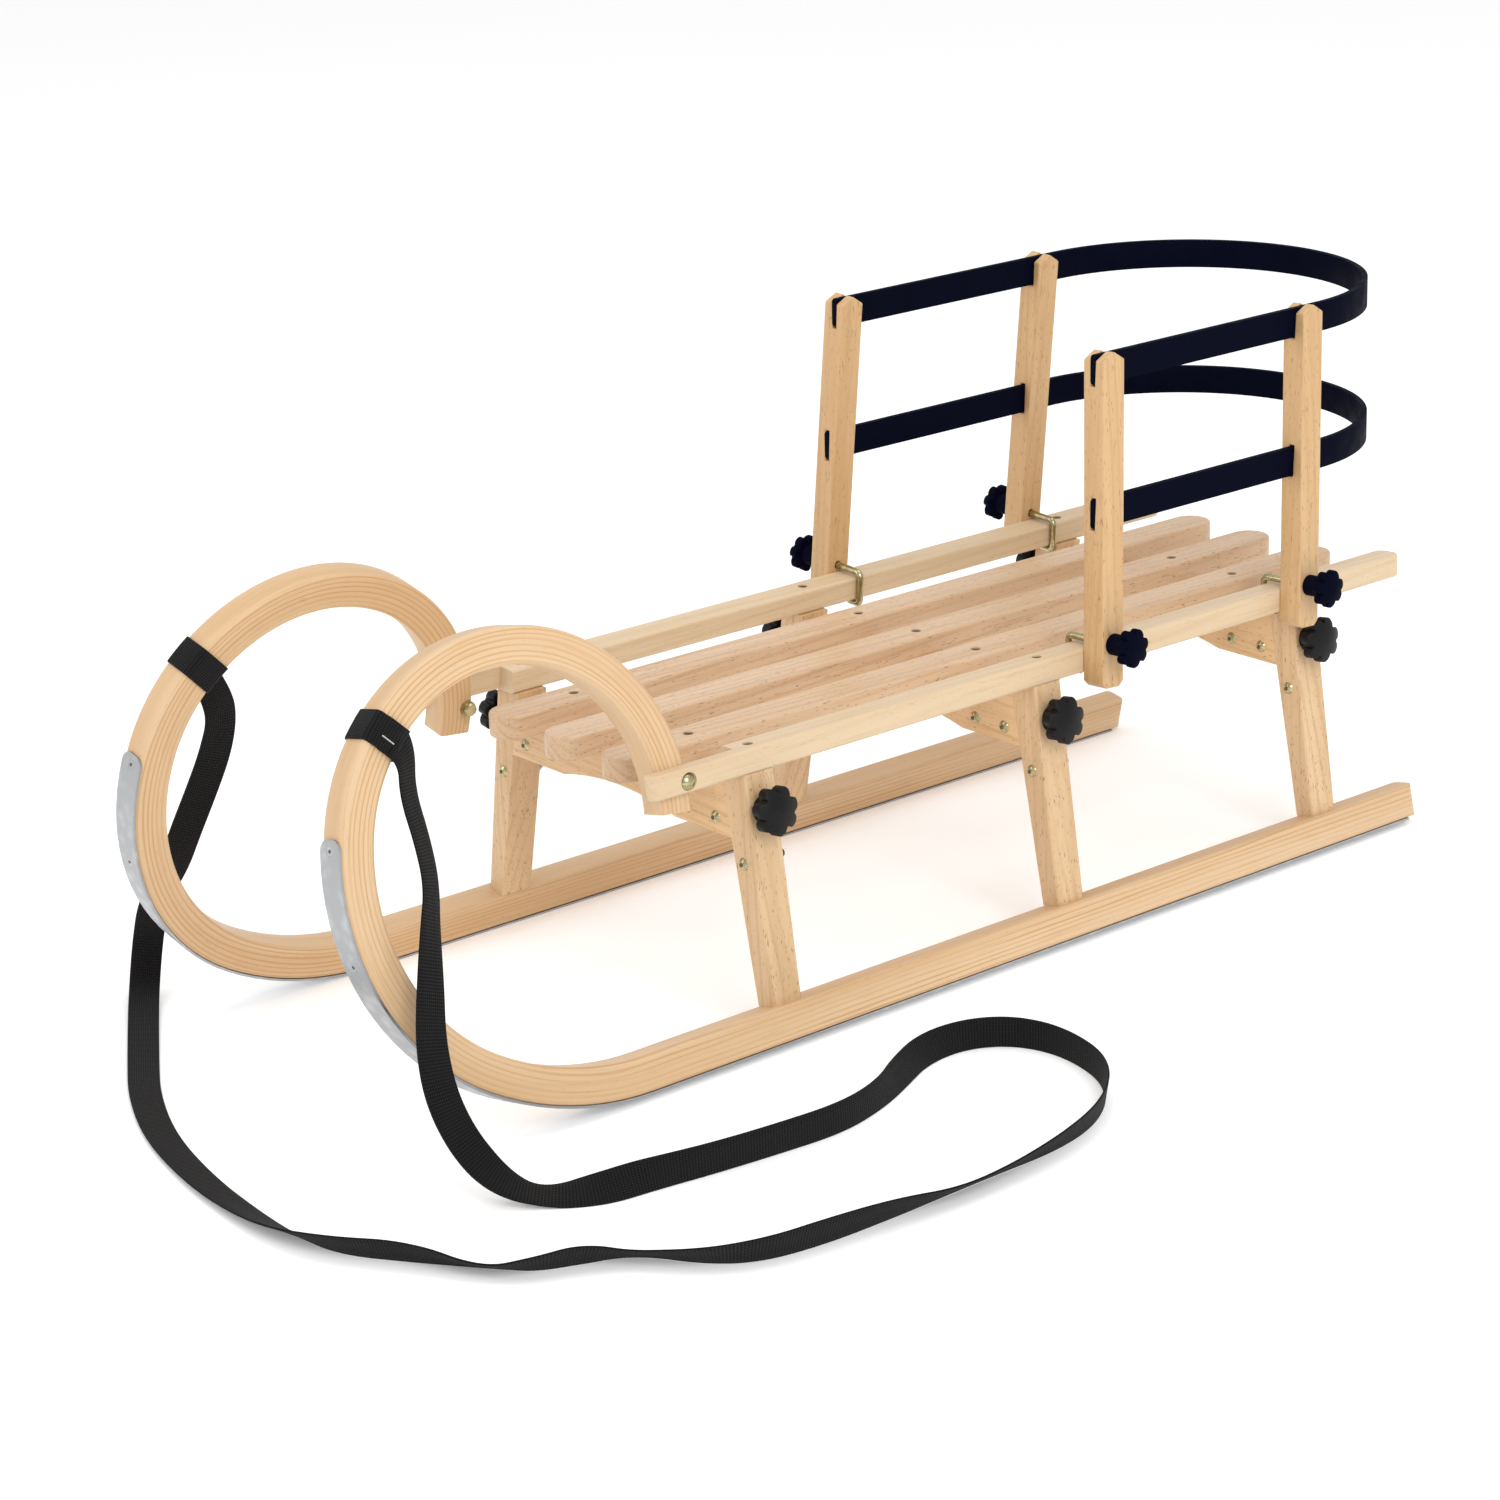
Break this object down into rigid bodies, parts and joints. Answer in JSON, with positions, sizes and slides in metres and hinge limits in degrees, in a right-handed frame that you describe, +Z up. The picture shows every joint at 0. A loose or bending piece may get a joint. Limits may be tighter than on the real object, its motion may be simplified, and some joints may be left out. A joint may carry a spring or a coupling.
{
  "type": "toboggan",
  "caption": "Wooden horned toboggan: bent leaning runners with steel guards, slatted seat, clamp-on child backrest with bent bands, pull strap.",
  "frame": {"origin": "on the ground, under the middle of the sled without its pull strap", "axes": "+X forward to the horns, +Y to the sled's left, +Z up"},
  "size_m": [1.2982, 0.792, 0.4882],
  "materials": {
    "bent_wood": "satin varnish over bent, glued layers",
    "frame_wood": "satin varnish, beech",
    "slat_wood": "satin varnish, beech",
    "rail_wood": "satin varnish, pale ash",
    "galvanised": "galvanised strip",
    "brace_steel": "plain steel",
    "dark_screw": "blackened screws",
    "zinc": "yellow passivated zinc",
    "cap_plastic": "black caps",
    "knob_plastic": "fine textured black",
    "band_plastic": "smooth blue-black",
    "webbing": "woven polyester strap"
  },
  "bodies": {
    "root": {"brace_bolts": "zinc", "brace_nuts": "cap_plastic", "corner_brace_front_left": "brace_steel", "corner_brace_front_right": "brace_steel", "corner_brace_middle_left": "brace_steel", "corner_brace_middle_right": "brace_steel", "corner_brace_rear_left": "brace_steel", "corner_brace_rear_right": "brace_steel", "guard_screws": "galvanised", "horn_bolts": "zinc", "horn_nuts": "zinc", "leg_front_left": "frame_wood", "leg_front_right": "frame_wood", "leg_middle_left": "frame_wood", "leg_middle_right": "frame_wood", "leg_rear_left": "frame_wood", "leg_rear_right": "frame_wood", "pull_strap": "webbing", "runner_guard_left": "galvanised", "runner_guard_right": "galvanised", "runner_left": "bent_wood", "runner_right": "bent_wood", "slat_inner_left": "slat_wood", "slat_inner_right": "slat_wood", "slat_middle": "slat_wood", "slat_outer_left": "rail_wood", "slat_outer_right": "rail_wood", "slat_screws": "dark_screw", "strap_loop_left": "webbing", "strap_loop_right": "webbing", "yoke_front": "frame_wood", "yoke_inserts": "brace_steel", "yoke_middle": "frame_wood", "yoke_rear": "frame_wood"},
    "backrest": {"band_lower": "band_plastic", "band_upper": "band_plastic", "post_front_left": "rail_wood", "post_front_right": "rail_wood", "post_rear_left": "rail_wood", "post_rear_right": "rail_wood"},
    "backrest_knob_front_left": {"backrest_knob_front_left": "band_plastic"},
    "backrest_knob_front_right": {"backrest_knob_front_right": "band_plastic"},
    "backrest_knob_rear_left": {"backrest_knob_rear_left": "band_plastic"},
    "backrest_knob_rear_right": {"backrest_knob_rear_right": "band_plastic"},
    "hook_front_left": {"hook_front_left": "zinc"},
    "hook_front_right": {"hook_front_right": "zinc"},
    "hook_rear_left": {"hook_rear_left": "zinc"},
    "hook_rear_right": {"hook_rear_right": "zinc"},
    "leg_knob_front_left": {"leg_knob_front_left": "knob_plastic"},
    "leg_knob_front_right": {"leg_knob_front_right": "knob_plastic"},
    "leg_knob_middle_left": {"leg_knob_middle_left": "knob_plastic"},
    "leg_knob_middle_right": {"leg_knob_middle_right": "knob_plastic"},
    "leg_knob_rear_left": {"leg_knob_rear_left": "knob_plastic"},
    "leg_knob_rear_right": {"leg_knob_rear_right": "knob_plastic"}
  },
  "joints": [
    {"name": "turn_leg_knob_front_left", "type": "hinge", "parent": "root", "child": "leg_knob_front_left", "pos_m": [0.20499, 0.16426, 0.19], "axis": [0, 0.9898, 0.1425], "continuous": true},
    {"name": "turn_leg_knob_front_right", "type": "hinge", "parent": "root", "child": "leg_knob_front_right", "pos_m": [0.20499, -0.16426, 0.19], "axis": [0, -0.9898, 0.1425], "continuous": true},
    {"name": "turn_leg_knob_middle_left", "type": "hinge", "parent": "root", "child": "leg_knob_middle_left", "pos_m": [-0.10601, 0.16426, 0.19], "axis": [0, 0.9898, 0.1425], "continuous": true},
    {"name": "turn_leg_knob_middle_right", "type": "hinge", "parent": "root", "child": "leg_knob_middle_right", "pos_m": [-0.10601, -0.16426, 0.19], "axis": [0, -0.9898, 0.1425], "continuous": true},
    {"name": "turn_leg_knob_rear_left", "type": "hinge", "parent": "root", "child": "leg_knob_rear_left", "pos_m": [-0.41701, 0.16426, 0.19], "axis": [0, 0.9898, 0.1425], "continuous": true},
    {"name": "turn_leg_knob_rear_right", "type": "hinge", "parent": "root", "child": "leg_knob_rear_right", "pos_m": [-0.41701, -0.16426, 0.19], "axis": [0, -0.9898, 0.1425], "continuous": true},
    {"name": "slide_backrest", "type": "slide", "parent": "root", "child": "backrest", "axis": [1, 0, 0], "range_m": [0, 0.025]},
    {"name": "turn_backrest_knob_front_left", "type": "hinge", "parent": "backrest", "child": "backrest_knob_front_left", "pos_m": [-0.15901, 0.18361, 0.24653], "axis": [0, 0.9986, 0.0523], "continuous": true},
    {"name": "slide_hook_front_left", "type": "slide", "parent": "backrest", "child": "hook_front_left", "axis": [0, -0.9986, -0.0523], "range_m": [0, 0.008]},
    {"name": "turn_backrest_knob_front_right", "type": "hinge", "parent": "backrest", "child": "backrest_knob_front_right", "pos_m": [-0.15901, -0.18361, 0.24653], "axis": [0, -0.9986, 0.0523], "continuous": true},
    {"name": "slide_hook_front_right", "type": "slide", "parent": "backrest", "child": "hook_front_right", "axis": [0, 0.9986, -0.0523], "range_m": [0, 0.008]},
    {"name": "turn_backrest_knob_rear_left", "type": "hinge", "parent": "backrest", "child": "backrest_knob_rear_left", "pos_m": [-0.39701, 0.18361, 0.24653], "axis": [0, 0.9986, 0.0523], "continuous": true},
    {"name": "slide_hook_rear_left", "type": "slide", "parent": "backrest", "child": "hook_rear_left", "axis": [0, -0.9986, -0.0523], "range_m": [0, 0.008]},
    {"name": "turn_backrest_knob_rear_right", "type": "hinge", "parent": "backrest", "child": "backrest_knob_rear_right", "pos_m": [-0.39701, -0.18361, 0.24653], "axis": [0, -0.9986, 0.0523], "continuous": true},
    {"name": "slide_hook_rear_right", "type": "slide", "parent": "backrest", "child": "hook_rear_right", "axis": [0, 0.9986, -0.0523], "range_m": [0, 0.008]}
  ]
}
